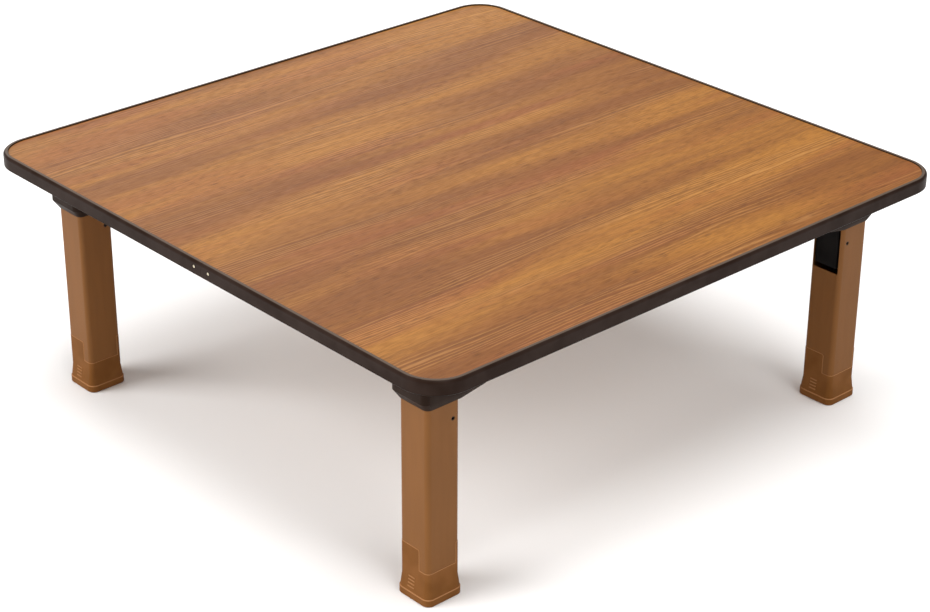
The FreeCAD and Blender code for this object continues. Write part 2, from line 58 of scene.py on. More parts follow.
# Rounding of the pieces' edges
TOP_EDGE_BEVEL = 0.25 * MM
MOULDING_BEVEL = 0.3 * MM
BRACKET_BEVEL = 0.5 * MM
BLOCK_BEVEL = 0.3 * MM
TUBE_BEVEL = 0.25 * MM
FOOT_BEVEL = 0.3 * MM
PIN_BEVEL = 0.2 * MM
BEVEL_SEGMENTS = 2

# Nails and screws
NAIL_SHANK_RADIUS = 0.7 * MM
NAIL_HEAD_HEIGHT = 0.6 * MM
SCREW_HEAD_RADIUS = 3.8 * MM
SCREW_HEAD_HEIGHT = 2.2 * MM
SCREW_HEAD_RIM = 0.7 * MM
SCREW_RADIUS = 1.9 * MM
SCREW_POINT = 3.0 * MM
SCREW_CROSS = 4.2 * MM
SCREW_CROSS_WIDTH = 0.9 * MM
SCREW_CROSS_DEPTH = 1.3 * MM
SCREW_CROSS_BEVEL = 0.225 * MM

# How far a screw is turned, in radians for each metre of its place, so that they stand unalike
SCREW_TURN = 17.0

# The foot cap as the part has it: half its width and its corners above the flare, and the flare
FOOT_HALF = 22.8 * MM
FOOT_CORNER_RADIUS = 6.3 * MM
FOOT_FLARE = 2.2 * MM
FOOT_FLARE_TOP = 25.0 * MM
FOOT_FLARE_LOW = 9.0 * MM

# Rounded rim of a foot cap: the outer edges above a height just under its seam with the tube
FOOT_RIM_LOW = 39.0 * MM
FOOT_RIM_BEVEL = 0.9 * MM

# Grip ribs of a foot cap
FOOT_RIBS = 4
FOOT_RIB_LENGTH = 10.0 * MM
FOOT_RIB_WIDTH = 1.6 * MM
FOOT_RIB_PROUD = 0.6 * MM
FOOT_RIB_BEVEL = 0.27 * MM
FOOT_RIB_LOW = 14.5 * MM
FOOT_RIB_PITCH = 4.0 * MM
FOOT_RIB_X = -3.0 * MM

# Face attribute that marks where a painted highlight goes, and how much of it the ribs take
HIGHLIGHT_MARK = "rubbed"
RIB_HIGHLIGHT = 0.7

# Facets of the frame's meshes
WELD = 0.001 * MM
FLAT = math.radians(0.5)
SHARP = math.radians(28)

# Sizes of the finishes' patterns in millimetres, along X, Y and Z or across and along the grain
WOOD_DRIFT = (110, 620, 1)
WOOD_THROUGH = 50
WOOD_FIBRE = (1.5, 18)
WOOD_PORE = (0.9, 18)
RING_WAVE = (16, 320)
PAPER_CLOUD = (60, 60, 60)
PAPER_FLECK = (1.6, 4.0, 1.6)
PLASTIC_CLOUD = (26, 26, 26)
PAINT_CLOUD = (9, 9, 70)
ORANGE_PEEL = (1.5, 1.5, 1.5)
FLOOR_CLOUD = (900, 900, 900)

# Nearly all of a soft pattern lies between these
PATTERN_SPAN = (0.3, 0.7)

# How far the waves push the growth lines aside, in radians: one line's spacing is 2 pi
RING_PUSH = 26.0

# Brightness of a finish's second tone as a share of its first
PLASTIC_LIFT = 1.22
PAINT_SHADE = 0.93
STEEL_SHADE = 0.7
FLOOR_SHADE = 0.99

# Added to a plastic's second tone, so that it is lighter even on black
PLASTIC_LEAST = 0.004

# Millimetres below the moulding's top between which the painted highlight on its crest comes
CREST_HIGHLIGHT_FADE = (0.5, 0.1)

# Millimetres above the moulding's bottom between which the painted shade on its lower bevel goes
PAINTED_SHADE_FADE = (0.9, 1.5)

# Millimetres below and above a foot cap's ledge between which its painted highlight comes and goes
LEDGE_HIGHLIGHT_RISE = (0.9, 0.5)
LEDGE_HIGHLIGHT_FALL = (0.1, 0.5)

# Where each soft light stands, seen from the table, and whether gloss mirrors it
LIGHTS = {
    "front": ((-0.45, -0.85, 0.55), False),
    "side": ((1.0, -0.15, 0.65), False),
    "top": ((0.1, 0.1, 1.0), True),
    "back": ((-1.0, 0.45, 0.35), True),
}

# Width in millimetres of the camera's frame, and the nearest and farthest that it sees, in metres
CAMERA_FRAME = 36.0
CAMERA_NEAR = 0.05
CAMERA_FAR = 60.0


def linear(text):
    """An sRGB hex colour as linear red, green and blue."""
    parts = [int(text[i:i + 2], 16) / 255 for i in (0, 2, 4)]
    return [p / 12.92 if p <= 0.04045 else ((p + 0.055) / 1.055) ** 2.4 for p in parts]


# Materials


def fill(tree, node, inputs):
    """Sets a node's inputs by name, and links those that take another node's output."""
    for name, value in inputs.items():
        socket = next(s for s in node.inputs if s.enabled and name in (s.name, s.identifier))
        if isinstance(value, bpy.types.NodeSocket):
            tree.links.new(value, socket)
        elif socket.type == "RGBA":
            socket.default_value = (*value, 1.0)
        else:
            socket.default_value = value


def add_node(tree, kind, inputs, output=None, **settings):
    """Adds a node, sets it, fills its inputs, and gives its first or named output."""
    node = tree.nodes.new(kind)
    for name, value in settings.items():
        setattr(node, name, value)
    fill(tree, node, inputs)
    live = [s for s in node.outputs if s.enabled]
    return next(s for s in live if output in (None, s.name, s.identifier))


def start_material(name):
    """A material with its bare shader, its node tree, and the place on the object in millimetres."""
    material = bpy.data.materials.new(name)
    material.use_nodes = True
    tree = material.node_tree
    coords = add_node(tree, "ShaderNodeTexCoord", {}, output="Object")
    place = add_node(tree, "ShaderNodeMapping", {"Vector": coords, "Scale": (1 / MM, 1 / MM, 1 / MM)})
    return material, tree, place


def blotches(tree, place, size, detail=2.0, shift=0.0):
    """Soft random variation about 0.5 whose blotches are as large as size, in millimetres. A
    shift moves it, so that no two patterns of a finish fall together."""
    scale = [1 / s for s in size]
    moved = add_node(
        tree, "ShaderNodeMapping", {"Vector": place, "Scale": scale, "Location": (shift, shift, shift)})
    return add_node(tree, "ShaderNodeTexNoise", {"Vector": moved, "Scale": 1.0, "Detail": detail})


def laid_over(tree, colour, tone, pattern, low, high, share=1.0):
    """A colour under a tone that comes in as the pattern goes from low to high, up to a share
    that is a number or another pattern."""
    mask = add_node(
        tree, "ShaderNodeMapRange", {"Value": pattern, "From Min": low, "From Max": high, "To Max": share},
        interpolation_type="SMOOTHSTEP",
    )
    return add_node(tree, "ShaderNodeMix", {"Factor": mask, "A": colour, "B": tone}, data_type="RGBA")


def finish_surface(tree, colour, rough, relief=None, depth=0.0, constants=None):
    """Gives the shader its colour and roughness, a relief as deep as depth, in millimetres, and
    its constants. The roughness is one number, or a pattern and the two numbers between which
    it follows the pattern."""
    inputs = {"Base Color": colour, "Roughness": rough, **(constants or {})}
    if isinstance(rough, tuple):
        pattern, least, most = rough
        low, high = PATTERN_SPAN
        inputs["Roughness"] = add_node(
            tree, "ShaderNodeMapRange",
            {"Value": pattern, "From Min": low, "From Max": high, "To Min": least, "To Max": most},
            interpolation_type="SMOOTHSTEP",
        )
    if relief:
        inputs["Normal"] = add_node(
            tree, "ShaderNodeBump", {"Height": relief, "Distance": depth * MM, "Strength": 1.0})
    fill(tree, tree.nodes["Principled BSDF"], inputs)


def wood_foil(looks):
    """Satin foil printed with brown wood grain that runs from front to back: broad golden and
    darker zones with reddish patches, fine fibres, short dark pores, and dark and pale growth
    lines that come and go. The pores are drawn coarser than real, so that they show."""
    material, tree, place = start_material("satin_printed_wood_foil")
    drift = add_node(
        tree, "ShaderNodeMapRange",
        {"Value": blotches(tree, place, WOOD_DRIFT, detail=1.0), "To Max": looks.grain_drift / MM},
        interpolation_type="SMOOTHSTEP",
    )
    sideways = add_node(tree, "ShaderNodeCombineXYZ", {"X": drift})
    bent = add_node(tree, "ShaderNodeVectorMath", {"Vector": place, "Vector_001": sideways}, operation="ADD")

    def grain(width, length, detail, shift):
        return blotches(tree, bent, (width, length, WOOD_THROUGH), detail, shift)

    zone = looks.zone_width / MM
    streak = looks.streak_width / MM
    zones = grain(zone, zone * 10, detail=3.0, shift=5.0)
    patches = grain(zone * 0.7, zone * 7, detail=2.0, shift=11.0)
    streaks = grain(streak, streak * 40, detail=4.0, shift=7.0)
    fibre = grain(*WOOD_FIBRE, detail=4.0, shift=3.0)
    # Each tone with its pattern, where on the pattern it starts and is full, and its share
    layers = (
        (looks.wood_brown, zones, 0.36, 0.64, 0.9),
        (looks.wood_rosy, patches, 0.48, 0.68, 0.5),
        (looks.wood_dark, streaks, 0.42, 0.70, 0.28),
        (looks.wood_dark, fibre, 0.40, 0.62, 0.34),
    )
    colour = looks.wood_golden
    for tone, pattern, low, high, share in layers:
        colour = laid_over(tree, colour, tone, pattern, low, high, share)

    # Growth lines: a fine wave across the grain, pushed aside by broad waves
    across = add_node(tree, "ShaderNodeSeparateXYZ", {"Vector": bent}, output="X")
    wave = add_node(
        tree, "ShaderNodeMath",
        {"Value": grain(*RING_WAVE, detail=2.0, shift=23.0), "Value_001": RING_PUSH},
        operation="MULTIPLY",
    )
    turn = add_node(
        tree, "ShaderNodeMath",
        {"Value": across, "Value_001": math.tau * MM / looks.ring_width, "Value_002": wave},
        operation="MULTIPLY_ADD",
    )
    ring = add_node(tree, "ShaderNodeMath", {"Value": turn}, operation="SINE")
    stand = grain(zone * 0.6, zone * 7, detail=1.0, shift=41.0)
    # Dark lines on its crests and pale ones in its troughs, plain in some places, faint in others
    lines = (
        (looks.wood_dark, 0.2, 0.95, 0.6),
        (looks.wood_pale, -0.3, -0.95, 0.4),
    )
    for tone, low, high, share in lines:
        most = add_node(
            tree, "ShaderNodeMapRange",
            {"Value": stand, "From Min": 0.46, "From Max": 0.62,
             "To Min": 0.10 * share, "To Max": 0.75 * share},
            interpolation_type="SMOOTHSTEP",
        )
        colour = laid_over(tree, colour, tone, ring, low, high, most)

    # Pores, plainer in some places than in others, sunk a little into the face
    density = add_node(
        tree, "ShaderNodeMapRange",
        {"Value": grain(zone * 0.5, zone * 3, detail=1.0, shift=53.0),
         "From Min": 0.4, "From Max": 0.6, "To Min": 0.15, "To Max": 0.5},
        interpolation_type="SMOOTHSTEP",
    )
    pores = add_node(
        tree, "ShaderNodeMapRange",
        {"Value": grain(*WOOD_PORE, detail=1.0, shift=17.0),
         "From Min": 0.58, "From Max": 0.66, "To Max": density},
        interpolation_type="SMOOTHSTEP",
    )
    colour = add_node(
        tree, "ShaderNodeMix", {"Factor": pores, "A": colour, "B": looks.wood_pore}, data_type="RGBA")
    sunk = add_node(
        tree, "ShaderNodeMapRange", {"Value": pores, "To Min": 1.0, "To Max": 0.0},
        interpolation_type="SMOOTHSTEP",
    )
    finish_surface(
        tree, colour, rough=(fibre, 0.34, 0.48), relief=sunk, depth=0.03,
        constants={"Specular IOR Level": 0.16})
    return material


def fibreboard(looks):
    """Fibreboard with a brown paper face below: matt, with fine felted flecks."""
    material, tree, place = start_material("brown_paper_faced_fibreboard")
    cloud = blotches(tree, place, PAPER_CLOUD, detail=3.0)
    fleck = blotches(tree, place, PAPER_FLECK, detail=3.0, shift=5.0)
    colour = laid_over(tree, looks.paper_dark, looks.paper_light, cloud, 0.35, 0.65)
    colour = laid_over(tree, colour, looks.paper_fleck, fleck, 0.52, 0.68, 0.35)
    finish_surface(tree, colour, rough=0.82, relief=fleck, depth=0.05)
    return material


def moulded_plastic(name, colour, roughness, grain, depth, painted_light=(), rubbed=None):
    """Injection moulded plastic: one colour with faint flow clouds and the fine spark grain
    of the mould, grain millimetres wide, drawn a little coarser than real so that it shows,
    and depth millimetres deep. Each band is a painted highlight or painted shade: a tone and
    two pairs of heights in millimetres, between which the tone comes and goes. Faces marked
    with the highlight attribute take the given highlight tone as a painted highlight."""
    material, tree, place = start_material(name)
    cloud = blotches(tree, place, PLASTIC_CLOUD)
    speck = blotches(tree, place, (grain, grain, grain), detail=1.0, shift=9.0)
    lighter = [min(1.0, c * PLASTIC_LIFT + PLASTIC_LEAST) for c in colour]
    tone = laid_over(tree, colour, lighter, cloud, *PATTERN_SPAN)
    tone = laid_over(tree, tone, lighter, speck, 0.5, 0.8, 0.25)
    # Painted highlights and painted shade, laid on in bands of height
    for painted_tone, comes, goes in painted_light:
        height = add_node(tree, "ShaderNodeSeparateXYZ", {"Vector": place}, output="Z")
        most = add_node(
            tree, "ShaderNodeMapRange",
            {"Value": height, "From Min": goes[0], "From Max": goes[1], "To Min": 1.0, "To Max": 0.0},
            interpolation_type="SMOOTHSTEP",
        )
        tone = laid_over(tree, tone, painted_tone, height, *comes, most)
    # Painted highlight on the marked faces
    if rubbed:
        mark = add_node(tree, "ShaderNodeAttribute", {}, output="Fac", attribute_name=HIGHLIGHT_MARK)
        tone = add_node(tree, "ShaderNodeMix", {"Factor": mark, "A": tone, "B": rubbed}, data_type="RGBA")
    finish_surface(
        tree, tone, rough=(speck, roughness - 0.05, roughness + 0.05), relief=speck, depth=depth,
        constants={"IOR": 1.49, "Specular IOR Level": 0.05})
    return material


def powder_coat(looks):
    """Powder coat on steel tube: satin brown with a soft orange peel and faint long clouds."""
    material, tree, place = start_material("satin_brown_powder_coat")
    cloud = blotches(tree, place, PAINT_CLOUD, detail=3.0)
    peel = blotches(tree, place, ORANGE_PEEL, detail=0.0, shift=4.0)
    darker = [c * PAINT_SHADE for c in looks.paint]
    tone = laid_over(tree, looks.paint, darker, cloud, 0.32, 0.68)
    finish_surface(
        tree, tone, rough=(peel, 0.40, 0.48), relief=peel, depth=0.03,
        constants={"IOR": 1.5, "Specular IOR Level": 0.12})
    return material


def bare_metal(name, colour, roughness, scratch):
    """Plated or blued steel with fine marks left by forming, scratch millimetres wide."""
    material, tree, place = start_material(name)
    mark = blotches(tree, place, (scratch, scratch, scratch * 6), detail=4.0)
    darker = [c * STEEL_SHADE for c in colour]
    tone = laid_over(tree, colour, darker, mark, 0.4, 0.7)
    finish_surface(
        tree, tone, rough=(mark, roughness - 0.08, roughness + 0.08), relief=mark, depth=0.01,
        constants={"Metallic": 1.0})
    return material


# Meshes


def new_object(name, mesh):
    """Makes an object of a finished bmesh and links it to the scene."""
    data = bpy.data.meshes.new(name)
    mesh.to_mesh(data)
    mesh.free()
    piece = bpy.data.objects.new(name, data)
    bpy.context.scene.collection.objects.link(piece)
    return piece


def finish_piece(node, mesh, material, body="root"):
    """Puts a finished mesh in the place of a frame node and dresses it."""
    for face in mesh.faces:
        face.smooth = True
    piece = new_object(node + "_visual", mesh)
    shading = piece.modifiers.new("even shading", "WEIGHTED_NORMAL")
    shading.weight = 100
    piece.data.materials.append(material)
    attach(piece, body)
    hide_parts(node)


def dress(node, material):
    """Gives a frame node that stays as it is a better material."""
    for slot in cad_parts[node].material_slots:
        slot.material = material


def softened(node, bevel, rim=None, rim_bevel=0.0):
    """A copy of a frame node's mesh with its facets merged and its sharp edges rounded. The
    edges whose two ends pass the test rim are rounded more, by rim_bevel, and marked for a painted
    highlight."""
    mesh = bmesh.new()
    mesh.from_mesh(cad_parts[node].data)
    bmesh.ops.remove_doubles(mesh, verts=mesh.verts, dist=WELD)
    bmesh.ops.dissolve_limit(
        mesh, angle_limit=FLAT, use_dissolve_boundaries=False, verts=mesh.verts, edges=mesh.edges,
        delimit={"NORMAL"},
    )
    if rim:
        # The rounded rim's faces are marked for a painted highlight
        mark = mesh.faces.layers.float.new(HIGHLIGHT_MARK)
        edges = [e for e in sharp_edges(mesh) if rim(e.verts[0].co) and rim(e.verts[1].co)]
        for face in round_edges(mesh, edges, rim_bevel):
            face[mark] = 1.0
    round_edges(mesh, sharp_edges(mesh), bevel)
    return mesh


def sharp_edges(mesh):
    """The edges at which the surface turns sharply."""
    return [e for e in mesh.edges if e.is_manifold and e.calc_face_angle() > SHARP]


def round_edges(mesh, edges, offset):
    """Rounds edges by offset and gives the new faces."""
    made = bmesh.ops.bevel(
        mesh, geom=edges, offset=offset, offset_type="OFFSET", segments=BEVEL_SEGMENTS, profile=0.5,
        affect="EDGES", clamp_overlap=True, material=-1, loop_slide=True,
    )
    return made["faces"]


def spun(profile, steps=24):
    """A closed turned shape about the Z axis from (radius, height) points that end on the axis."""
    mesh = bmesh.new()
    points = [mesh.verts.new((radius, 0, height)) for radius, height in profile]
    edges = [mesh.edges.new(pair) for pair in zip(points, points[1:])]
    bmesh.ops.spin(
        mesh, geom=points + edges, cent=(0, 0, 0), axis=(0, 0, 1), dvec=(0, 0, 0),
        angle=math.tau, steps=steps, use_merge=True, use_duplicate=False,
    )
    bmesh.ops.remove_doubles(mesh, verts=mesh.verts, dist=WELD)
    bmesh.ops.recalc_face_normals(mesh, faces=mesh.faces)
    return mesh


def dome(radius, rim, top, steps=6):
    """Points from the edge of a domed head, at height rim, to its middle, at height top."""
    angles = [math.pi / 2 * i / steps for i in range(steps + 1)]
    return [(radius * math.cos(a), rim + (top - rim) * math.sin(a)) for a in angles]


def carved(mesh, cutters):
    """The mesh less each cutter mesh."""
    piece = new_object("carving", mesh)
    tools = [new_object("cutter", cutter) for cutter in cutters]
    for tool in tools:
        cut = piece.modifiers.new("cut", "BOOLEAN")
        cut.operation = "DIFFERENCE"
        cut.solver = "EXACT"
        cut.object = tool
    result = bmesh.new()
    result.from_object(piece, bpy.context.evaluated_depsgraph_get())
    for thing in [piece, *tools]:
        data = thing.data
        bpy.data.objects.remove(thing)
        bpy.data.meshes.remove(data)
    return result


def add_copy(target, source, matrix):
    """Adds a copy of the source mesh, moved by matrix, to the target mesh and gives its faces."""
    places = {v: target.verts.new(matrix @ v.co) for v in source.verts}
    return [target.faces.new([places[v] for v in face.verts]) for face in source.faces]


def rounded_block(size, bevel):
    """A block about the origin with rounded edges."""
    mesh = bmesh.new()
    bmesh.ops.create_cube(mesh, size=1.0, matrix=Matrix.Diagonal((*size, 1.0)))
    round_edges(mesh, mesh.edges[:], bevel)
    return mesh


def leg_middle(leg):
    """The place of a leg's middle in plan."""
    low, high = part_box(leg + "_leg_tube")
    return (low[0] + high[0]) / 2, (low[1] + high[1]) / 2


class Looks(bpy.types.PropertyGroup):
    """Colours and pattern sizes of the table."""

    wood_golden: FloatVectorProperty(
        name="Wood, golden", description="Main tone of the wood foil", subtype="COLOR",
        size=3, default=linear("9A6629"))
    wood_brown: FloatVectorProperty(
        name="Wood, brown", description="Broad darker zones of the wood foil", subtype="COLOR",
        size=3, default=linear("744520"))
    wood_rosy: FloatVectorProperty(
        name="Wood, reddish", description="Reddish patches of the wood foil", subtype="COLOR",
        size=3, default=linear("854B29"))
    wood_dark: FloatVectorProperty(
        name="Wood, dark", description="Streaks and fibres of the wood foil", subtype="COLOR",
        size=3, default=linear("5E391D"))
    wood_pore: FloatVectorProperty(
        name="Wood, pores", description="Short dark pores of the wood foil", subtype="COLOR",
        size=3, default=linear("46260F"))
    wood_pale: FloatVectorProperty(
        name="Wood, pale", description="Pale lines of the wood foil", subtype="COLOR",
        size=3, default=linear("BB8A52"))
    zone_width: FloatProperty(
        name="Zone width", description="Width of the broad zones across the grain", subtype="DISTANCE",
        unit="LENGTH", default=62 * MM)
    streak_width: FloatProperty(
        name="Streak width", description="Width of the long streaks", subtype="DISTANCE",
        unit="LENGTH", default=7 * MM)
    ring_width: FloatProperty(
        name="Ring width", description="Spacing of the fine parallel lines of the grain", subtype="DISTANCE",
        unit="LENGTH", default=4.6 * MM)
    grain_drift: FloatProperty(
        name="Grain drift", description="How far the grain wanders sideways", subtype="DISTANCE",
        unit="LENGTH", default=22 * MM)
    paper_light: FloatVectorProperty(
        name="Paper, light", description="Paper face under the board", subtype="COLOR",
        size=3, default=linear("8A6A4C"))
    paper_dark: FloatVectorProperty(
        name="Paper, dark", description="Clouds in the paper face", subtype="COLOR",
        size=3, default=linear("836346"))
    paper_fleck: FloatVectorProperty(
        name="Paper flecks", description="Fibres in the paper face", subtype="COLOR",
        size=3, default=linear("5E432E"))
    moulding: FloatVectorProperty(
        name="Moulding", description="Edge moulding", subtype="COLOR", size=3, default=linear("21150F"))
    # Painted highlight: a paler tone along the crest of the edge moulding
    moulding_painted_highlight: FloatVectorProperty(
        name="Moulding crest highlight", description="Painted highlight on the crest of the edge moulding", subtype="COLOR",
        size=3, default=linear("54483F"))
    # Painted shade: a darker tone on the lower bevel of the edge moulding
    moulding_painted_shade: FloatVectorProperty(
        name="Moulding lower bevel shade", description="Painted shade on the lower bevel of the edge moulding", subtype="COLOR",
        size=3, default=linear("0E0907"))
    nail: FloatVectorProperty(
        name="Nails", description="Nail heads", subtype="COLOR", size=3, default=linear("D8CDB4"))
    bracket: FloatVectorProperty(
        name="Bracket", description="Bracket moulding", subtype="COLOR", size=3, default=linear("22160F"))
    block: FloatVectorProperty(
        name="Pivot block", description="Pivot block", subtype="COLOR", size=3, default=linear("0A0706"))
    screw: FloatVectorProperty(
        name="Screws", description="Zinc of the bracket screws", subtype="COLOR",
        size=3, default=linear("B9B7B0"))
    pin: FloatVectorProperty(
        name="Hinge pins", description="Blackened steel of the hinge pins", subtype="COLOR",
        size=3, default=linear("4A4038"))
    spring: FloatVectorProperty(
        name="Springs", description="Blued steel of the detent springs", subtype="COLOR",
        size=3, default=linear("5B6068"))
    paint: FloatVectorProperty(
        name="Leg paint", description="Powder coat of the legs", subtype="COLOR",
        size=3, default=linear("744B25"))
    foot: FloatVectorProperty(
        name="Foot cap", description="Foot cap plastic", subtype="COLOR", size=3, default=linear("69421E"))
    # Painted highlight: a paler tone on the foot caps' rim, ribs and ledge
    foot_painted_highlight: FloatVectorProperty(
        name="Foot cap, highlight", description="Painted highlight on the rim, ribs and ledge of a foot cap", subtype="COLOR",
        size=3, default=linear("9C6F49"))


class LOW_TABLE_OT_top(bpy.types.Operator):
    """Makes the wood top and dresses the board under it"""

    bl_idname = "low_table.top"
    bl_label = "Top"

    def execute(self, context):
        looks = context.scene.low_table_looks
        mesh = softened("wood_laminate", TOP_EDGE_BEVEL)
        finish_piece("wood_laminate", mesh, wood_foil(looks))
        dress("top_board", fibreboard(looks))
        return {"FINISHED"}


class LOW_TABLE_OT_moulding(bpy.types.Operator):
    """Makes the moulding round the edge, with a painted highlight on its crest and painted shade on its
    lower bevel
    """

    bl_idname = "low_table.moulding"
    bl_label = "Edge moulding"

    def execute(self, context):
        looks = context.scene.low_table_looks
        low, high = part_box("edge_moulding")
        bottom, top = low[2] / MM, high[2] / MM
        # The crest's painted highlight goes only above the moulding, and the painted shade of the lower
        # bevel comes only below it
        painted_light = (
            (looks.moulding_painted_highlight, [top - fade for fade in CREST_HIGHLIGHT_FADE], (top + 1, top + 2)),
            (looks.moulding_painted_shade, (bottom - 2, bottom - 1), [bottom + fade for fade in PAINTED_SHADE_FADE]),
        )
        material = moulded_plastic(
            "satin_dark_brown_pvc", looks.moulding, roughness=0.42, grain=0.9, depth=0.02, painted_light=painted_light)
        finish_piece("edge_moulding", softened("edge_moulding", MOULDING_BEVEL), material)
        return {"FINISHED"}


class LOW_TABLE_OT_nails(bpy.types.Operator):
    """Makes the two nails at the moulding's joint, with domed heads"""

    bl_idname = "low_table.nails"
    bl_label = "Moulding nails"

    def execute(self, context):
        low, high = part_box("moulding_nails")
        radius = (high[2] - low[2]) / 2
        length = high[1] - low[1]
        shape = spun(
            [(0, 0), (NAIL_SHANK_RADIUS, 0), (NAIL_SHANK_RADIUS, length - NAIL_HEAD_HEIGHT)]
            + dome(radius, length - NAIL_HEAD_HEIGHT, length)
        )
        forward = Matrix.Rotation(math.radians(90), 4, "X")
        nails = bmesh.new()
        for x in (low[0] + radius, high[0] - radius):
            place = Matrix.Translation((x, high[1], (low[2] + high[2]) / 2))
            add_copy(nails, shape, place @ forward)
        shape.free()
        nail = context.scene.low_table_looks.nail
        steel = bare_metal("bright_nail_steel", nail, roughness=0.3, scratch=0.6)
        finish_piece("moulding_nails", nails, steel)
        return {"FINISHED"}


class LOW_TABLE_OT_brackets(bpy.types.Operator):
    """Makes the brackets and the pivot blocks below them"""

    bl_idname = "low_table.brackets"
    bl_label = "Brackets"

    def execute(self, context):
        looks = context.scene.low_table_looks
        shell = moulded_plastic(
            "satin_dark_brown_abs", looks.bracket, roughness=0.45, grain=0.9, depth=0.02)
        nylon = moulded_plastic("near_black_nylon", looks.block, roughness=0.5, grain=1.2, depth=0.02)
        for leg in LEGS:
            bracket = leg + "_bracket"
            finish_piece(bracket, softened(bracket, BRACKET_BEVEL), shell)
            block = leg + "_pivot_block"
            finish_piece(block, softened(block, BLOCK_BEVEL), nylon)
        return {"FINISHED"}


class LOW_TABLE_OT_screws(bpy.types.Operator):
    """Makes the pan head screws of the brackets, with cross recesses"""

    bl_idname = "low_table.screws"
    bl_label = "Bracket screws"

    def execute(self, context):
        zinc = context.scene.low_table_looks.screw
        steel = bare_metal("zinc_plated_steel", zinc, roughness=0.35, scratch=0.5)
        low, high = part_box(LEGS[0] + "_bracket_screws")
        shape = cross_screw(high[2] - low[2])
        for leg in LEGS:
            low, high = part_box(leg + "_bracket_screws")
            screws = bmesh.new()
            for x in (low[0] + SCREW_HEAD_RADIUS, high[0] - SCREW_HEAD_RADIUS):
                for y in (low[1] + SCREW_HEAD_RADIUS, high[1] - SCREW_HEAD_RADIUS):
                    turn = Matrix.Rotation(SCREW_TURN * (x + 2 * y), 4, "Z")
                    add_copy(screws, shape, Matrix.Translation((x, y, low[2])) @ turn)
            finish_piece(leg + "_bracket_screws", screws, steel)
        shape.free()
        return {"FINISHED"}


def cross_screw(length):
    """One screw, head down at the origin, its cross recess cut by two crossed blades."""
    seat = SCREW_HEAD_HEIGHT
    body = spun(
        [(0, length), (SCREW_RADIUS, length - SCREW_POINT), (SCREW_RADIUS, seat)]
        + dome(SCREW_HEAD_RADIUS, seat - SCREW_HEAD_RIM, 0)
    )
    blades = []
    for turn in (0, math.radians(90)):
        blade = rounded_block((SCREW_CROSS, SCREW_CROSS_WIDTH, 2 * SCREW_CROSS_DEPTH), SCREW_CROSS_BEVEL)
        bmesh.ops.rotate(blade, verts=blade.verts, cent=(0, 0, 0), matrix=Matrix.Rotation(turn, 3, "Z"))
        blades.append(blade)
    return carved(body, blades)


class LOW_TABLE_OT_legs(bpy.types.Operator):
    """Makes the painted leg tubes"""

    bl_idname = "low_table.legs"
    bl_label = "Legs"

    def execute(self, context):
        paint = powder_coat(context.scene.low_table_looks)
        for leg in LEGS:
            node = leg + "_leg_tube"
            finish_piece(node, softened(node, TUBE_BEVEL), paint, leg + "_leg")
        return {"FINISHED"}


class LOW_TABLE_OT_foot_caps(bpy.types.Operator):
    """Makes the foot caps, with a rounded rim and short grip ribs on two faces, and a painted highlight on
    the ledge, the rim and the ribs
    """

    bl_idname = "low_table.foot_caps"
    bl_label = "Foot caps"

    def execute(self, context):
        looks = context.scene.low_table_looks
        # Painted highlight along each cap's ledge, and on its marked rim and ribs
        ledge = FOOT_FLARE_LOW / MM
        comes = [ledge - rise for rise in LEDGE_HIGHLIGHT_RISE]
        goes = [ledge + fall for fall in LEDGE_HIGHLIGHT_FALL]
        painted_light = ((looks.foot_painted_highlight, comes, goes),)
        plastic = moulded_plastic(
            "satin_brown_polypropylene", looks.foot, roughness=0.48, grain=1.0, depth=0.03,
            painted_light=painted_light, rubbed=looks.foot_painted_highlight)
        for leg in LEGS:
            node = leg + "_foot_cap"
            mesh = softened(node, FOOT_BEVEL, rim_test(leg), FOOT_RIM_BEVEL)
            add_foot_ribs(mesh, leg)
            finish_piece(node, mesh, plastic, leg + "_leg")
        return {"FINISHED"}


def rim_test(leg):
    """A test of whether a point lies on the cap's outer skin, from the seam up."""
    x, y = leg_middle(leg)
    straight = FOOT_HALF - FOOT_CORNER_RADIUS

    def on_rim(point):
        corner = max(0, abs(point.x - x) - straight), max(0, abs(point.y - y) - straight)
        return point.z > FOOT_RIM_LOW and abs(math.hypot(*corner) - FOOT_CORNER_RADIUS) < FOOT_BEVEL / 2

    return on_rim


def add_foot_ribs(mesh, leg):
    """Adds a short row of equal ribs low on the cap's front and back faces."""
    x, y = leg_middle(leg)
    mark = mesh.faces.layers.float[HIGHLIGHT_MARK]
    rib = rounded_block((FOOT_RIB_LENGTH, 2 * FOOT_RIB_PROUD, FOOT_RIB_WIDTH), FOOT_RIB_BEVEL)
    lean = math.atan2(FOOT_FLARE, FOOT_FLARE_TOP - FOOT_FLARE_LOW)
    for half_turn in (0, math.pi):
        about = Matrix.Translation((x, y, 0)) @ Matrix.Rotation(half_turn, 4, "Z")
        for i in range(FOOT_RIBS):
            z = FOOT_RIB_LOW + i * FOOT_RIB_PITCH
            out = FOOT_FLARE * max(0, FOOT_FLARE_TOP - z) / (FOOT_FLARE_TOP - FOOT_FLARE_LOW)
            tilt = Matrix.Rotation(-lean if z < FOOT_FLARE_TOP else 0, 4, "X")
            place = Matrix.Translation((FOOT_RIB_X, -FOOT_HALF - out, z))
            # The ribs are marked for part of the painted highlight
            for face in add_copy(mesh, rib, about @ place @ tilt):
                face[mark] = RIB_HIGHLIGHT
    rib.free()


class LOW_TABLE_OT_hinges(bpy.types.Operator):
    """Makes the rolled hinge pins and dresses the detent springs"""

    bl_idname = "low_table.hinges"
    bl_label = "Hinge pins and springs"

    def execute(self, context):
        looks = context.scene.low_table_looks
        steel = bare_metal("blackened_steel", looks.pin, roughness=0.45, scratch=0.5)
        blued = bare_metal("blued_spring_steel", looks.spring, roughness=0.3, scratch=0.8)
        for leg in LEGS:
            pin = leg + "_hinge_pin"
            finish_piece(pin, softened(pin, PIN_BEVEL), steel, leg + "_leg")
            dress(leg + "_detent_spring", blued)
        return {"FINISHED"}


